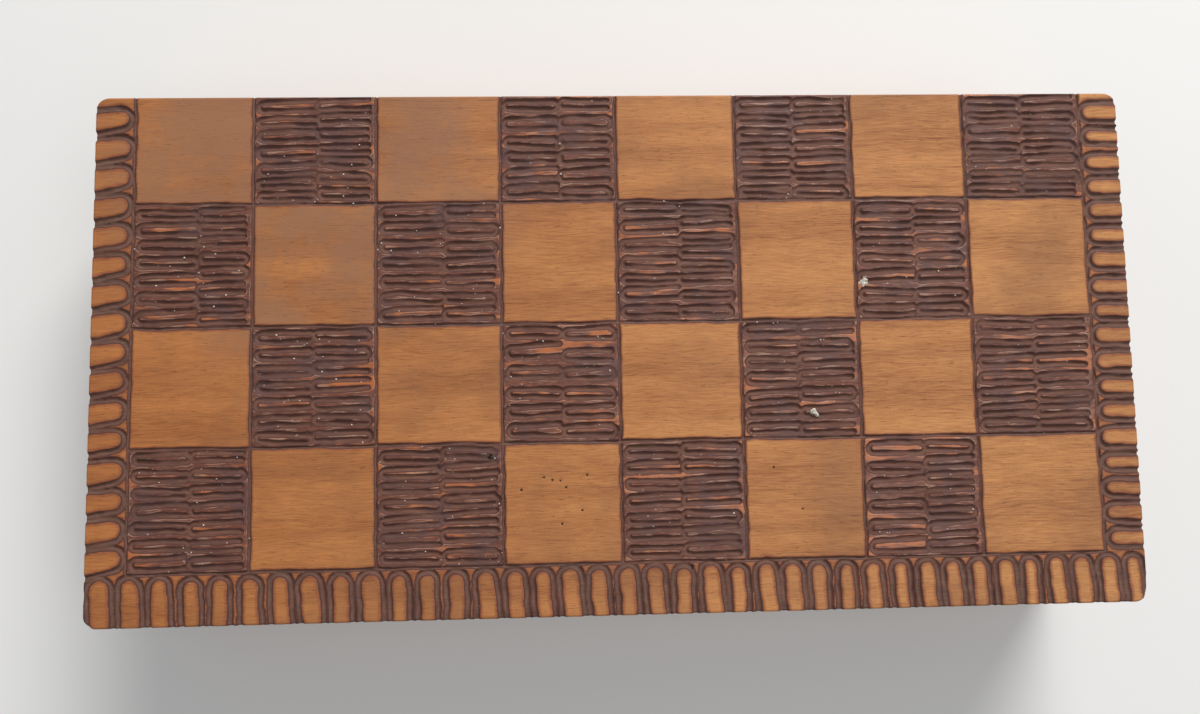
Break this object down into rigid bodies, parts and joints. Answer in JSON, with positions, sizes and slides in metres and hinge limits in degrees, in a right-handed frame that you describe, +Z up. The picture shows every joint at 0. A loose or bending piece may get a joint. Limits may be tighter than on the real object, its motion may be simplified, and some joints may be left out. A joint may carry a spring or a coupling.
{
  "type": "backgammon set",
  "caption": "Folding wooden games box, hinged along one side and held shut by a hook, with a burned chess board outside and a backgammon table with checkers and dice inside",
  "frame": {"origin": "middle of the underside of the closed box", "axes": "+X along the box to the right, +Y towards the hinges, +Z up out of the top board face; the catch is on the -Y side"},
  "size_m": [0.24, 0.1254, 0.0404],
  "materials": {
    "board_wood": "burned and waxed",
    "rail_wood": "waxed",
    "hinge_brass": "dulled",
    "screw_brass": "dulled",
    "catch_brass": "polished by use",
    "checker_light_wood": "turned and waxed",
    "checker_dark_wood": "turned, stained and waxed",
    "die_bone": "polished"
  },
  "bodies": {
    "lower_tray": {"lower_panel": "board_wood", "lower_front_rail": "rail_wood", "lower_back_rail": "rail_wood", "lower_left_rail": "rail_wood", "lower_right_rail": "rail_wood", "left_hinge_lower_leaf": "hinge_brass", "right_hinge_lower_leaf": "hinge_brass", "left_hinge_lower_screw_1": "screw_brass", "left_hinge_lower_screw_2": "screw_brass", "right_hinge_lower_screw_1": "screw_brass", "right_hinge_lower_screw_2": "screw_brass", "left_hinge_pin": "hinge_brass", "right_hinge_pin": "hinge_brass", "catch_peg": "catch_brass"},
    "upper_tray": {"upper_panel": "board_wood", "upper_front_rail": "rail_wood", "upper_back_rail": "rail_wood", "upper_left_rail": "rail_wood", "upper_right_rail": "rail_wood", "left_hinge_upper_leaf": "hinge_brass", "right_hinge_upper_leaf": "hinge_brass", "left_hinge_upper_screw_1": "screw_brass", "left_hinge_upper_screw_2": "screw_brass", "right_hinge_upper_screw_1": "screw_brass", "right_hinge_upper_screw_2": "screw_brass", "catch_pivot_screw": "catch_brass"},
    "hook": {"catch_hook": "catch_brass"},
    "light_01_piece": {"checker_light_01": "checker_light_wood"},
    "light_02_piece": {"checker_light_02": "checker_light_wood"},
    "light_03_piece": {"checker_light_03": "checker_light_wood"},
    "light_04_piece": {"checker_light_04": "checker_light_wood"},
    "light_05_piece": {"checker_light_05": "checker_light_wood"},
    "light_06_piece": {"checker_light_06": "checker_light_wood"},
    "light_07_piece": {"checker_light_07": "checker_light_wood"},
    "light_08_piece": {"checker_light_08": "checker_light_wood"},
    "light_09_piece": {"checker_light_09": "checker_light_wood"},
    "light_10_piece": {"checker_light_10": "checker_light_wood"},
    "light_11_piece": {"checker_light_11": "checker_light_wood"},
    "light_12_piece": {"checker_light_12": "checker_light_wood"},
    "light_13_piece": {"checker_light_13": "checker_light_wood"},
    "light_14_piece": {"checker_light_14": "checker_light_wood"},
    "light_15_piece": {"checker_light_15": "checker_light_wood"},
    "dark_01_piece": {"checker_dark_01": "checker_dark_wood"},
    "dark_02_piece": {"checker_dark_02": "checker_dark_wood"},
    "dark_03_piece": {"checker_dark_03": "checker_dark_wood"},
    "dark_04_piece": {"checker_dark_04": "checker_dark_wood"},
    "dark_05_piece": {"checker_dark_05": "checker_dark_wood"},
    "dark_06_piece": {"checker_dark_06": "checker_dark_wood"},
    "dark_07_piece": {"checker_dark_07": "checker_dark_wood"},
    "dark_08_piece": {"checker_dark_08": "checker_dark_wood"},
    "dark_09_piece": {"checker_dark_09": "checker_dark_wood"},
    "dark_10_piece": {"checker_dark_10": "checker_dark_wood"},
    "dark_11_piece": {"checker_dark_11": "checker_dark_wood"},
    "dark_12_piece": {"checker_dark_12": "checker_dark_wood"},
    "dark_13_piece": {"checker_dark_13": "checker_dark_wood"},
    "dark_14_piece": {"checker_dark_14": "checker_dark_wood"},
    "dark_15_piece": {"checker_dark_15": "checker_dark_wood"},
    "die_1_piece": {"die_1": "die_bone"},
    "die_2_piece": {"die_2": "die_bone"}
  },
  "joints": [
    {"name": "board_hinge", "type": "hinge", "parent": "lower_tray", "child": "upper_tray", "pos_m": [0, 0.0617, 0.0202], "axis": [-1, 0, 0], "range_deg": [0, 180]},
    {"name": "catch_swing", "type": "hinge", "parent": "upper_tray", "child": "hook", "pos_m": [-0.00545, -0.06075, 0.0294], "axis": [0, -1, 0], "range_deg": [-90, 35]},
    {"name": "checker_light_01_lift", "type": "slide", "parent": "lower_tray", "child": "light_01_piece", "axis": [0, 0, 1], "range_m": [0, 0.023]},
    {"name": "checker_light_02_lift", "type": "slide", "parent": "lower_tray", "child": "light_02_piece", "axis": [0, 0, 1], "range_m": [0, 0.023]},
    {"name": "checker_light_03_lift", "type": "slide", "parent": "lower_tray", "child": "light_03_piece", "axis": [0, 0, 1], "range_m": [0, 0.023]},
    {"name": "checker_light_04_lift", "type": "slide", "parent": "lower_tray", "child": "light_04_piece", "axis": [0, 0, 1], "range_m": [0, 0.023]},
    {"name": "checker_light_05_lift", "type": "slide", "parent": "lower_tray", "child": "light_05_piece", "axis": [0, 0, 1], "range_m": [0, 0.023]},
    {"name": "checker_light_06_lift", "type": "slide", "parent": "lower_tray", "child": "light_06_piece", "axis": [0, 0, 1], "range_m": [0, 0.023]},
    {"name": "checker_light_07_lift", "type": "slide", "parent": "lower_tray", "child": "light_07_piece", "axis": [0, 0, 1], "range_m": [0, 0.023]},
    {"name": "checker_light_08_lift", "type": "slide", "parent": "lower_tray", "child": "light_08_piece", "axis": [0, 0, 1], "range_m": [0, 0.023]},
    {"name": "checker_light_09_lift", "type": "slide", "parent": "lower_tray", "child": "light_09_piece", "axis": [0, 0, 1], "range_m": [0, 0.023]},
    {"name": "checker_light_10_lift", "type": "slide", "parent": "lower_tray", "child": "light_10_piece", "axis": [0, 0, 1], "range_m": [0, 0.023]},
    {"name": "checker_light_11_lift", "type": "slide", "parent": "lower_tray", "child": "light_11_piece", "axis": [0, 0, 1], "range_m": [0, 0.023]},
    {"name": "checker_light_12_lift", "type": "slide", "parent": "lower_tray", "child": "light_12_piece", "axis": [0, 0, 1], "range_m": [0, 0.023]},
    {"name": "checker_light_13_lift", "type": "slide", "parent": "lower_tray", "child": "light_13_piece", "axis": [0, 0, 1], "range_m": [0, 0.023]},
    {"name": "checker_light_14_lift", "type": "slide", "parent": "lower_tray", "child": "light_14_piece", "axis": [0, 0, 1], "range_m": [0, 0.023]},
    {"name": "checker_light_15_lift", "type": "slide", "parent": "lower_tray", "child": "light_15_piece", "axis": [0, 0, 1], "range_m": [0, 0.023]},
    {"name": "checker_dark_01_lift", "type": "slide", "parent": "lower_tray", "child": "dark_01_piece", "axis": [0, 0, 1], "range_m": [0, 0.023]},
    {"name": "checker_dark_02_lift", "type": "slide", "parent": "lower_tray", "child": "dark_02_piece", "axis": [0, 0, 1], "range_m": [0, 0.023]},
    {"name": "checker_dark_03_lift", "type": "slide", "parent": "lower_tray", "child": "dark_03_piece", "axis": [0, 0, 1], "range_m": [0, 0.023]},
    {"name": "checker_dark_04_lift", "type": "slide", "parent": "lower_tray", "child": "dark_04_piece", "axis": [0, 0, 1], "range_m": [0, 0.023]},
    {"name": "checker_dark_05_lift", "type": "slide", "parent": "lower_tray", "child": "dark_05_piece", "axis": [0, 0, 1], "range_m": [0, 0.023]},
    {"name": "checker_dark_06_lift", "type": "slide", "parent": "lower_tray", "child": "dark_06_piece", "axis": [0, 0, 1], "range_m": [0, 0.023]},
    {"name": "checker_dark_07_lift", "type": "slide", "parent": "lower_tray", "child": "dark_07_piece", "axis": [0, 0, 1], "range_m": [0, 0.023]},
    {"name": "checker_dark_08_lift", "type": "slide", "parent": "lower_tray", "child": "dark_08_piece", "axis": [0, 0, 1], "range_m": [0, 0.023]},
    {"name": "checker_dark_09_lift", "type": "slide", "parent": "lower_tray", "child": "dark_09_piece", "axis": [0, 0, 1], "range_m": [0, 0.023]},
    {"name": "checker_dark_10_lift", "type": "slide", "parent": "lower_tray", "child": "dark_10_piece", "axis": [0, 0, 1], "range_m": [0, 0.023]},
    {"name": "checker_dark_11_lift", "type": "slide", "parent": "lower_tray", "child": "dark_11_piece", "axis": [0, 0, 1], "range_m": [0, 0.023]},
    {"name": "checker_dark_12_lift", "type": "slide", "parent": "lower_tray", "child": "dark_12_piece", "axis": [0, 0, 1], "range_m": [0, 0.023]},
    {"name": "checker_dark_13_lift", "type": "slide", "parent": "lower_tray", "child": "dark_13_piece", "axis": [0, 0, 1], "range_m": [0, 0.023]},
    {"name": "checker_dark_14_lift", "type": "slide", "parent": "lower_tray", "child": "dark_14_piece", "axis": [0, 0, 1], "range_m": [0, 0.023]},
    {"name": "checker_dark_15_lift", "type": "slide", "parent": "lower_tray", "child": "dark_15_piece", "axis": [0, 0, 1], "range_m": [0, 0.023]},
    {"name": "die_1_lift", "type": "slide", "parent": "lower_tray", "child": "die_1_piece", "axis": [0, 0, 1], "range_m": [0, 0.0195]},
    {"name": "die_2_lift", "type": "slide", "parent": "lower_tray", "child": "die_2_piece", "axis": [0, 0, 1], "range_m": [0, 0.0195]}
  ]
}
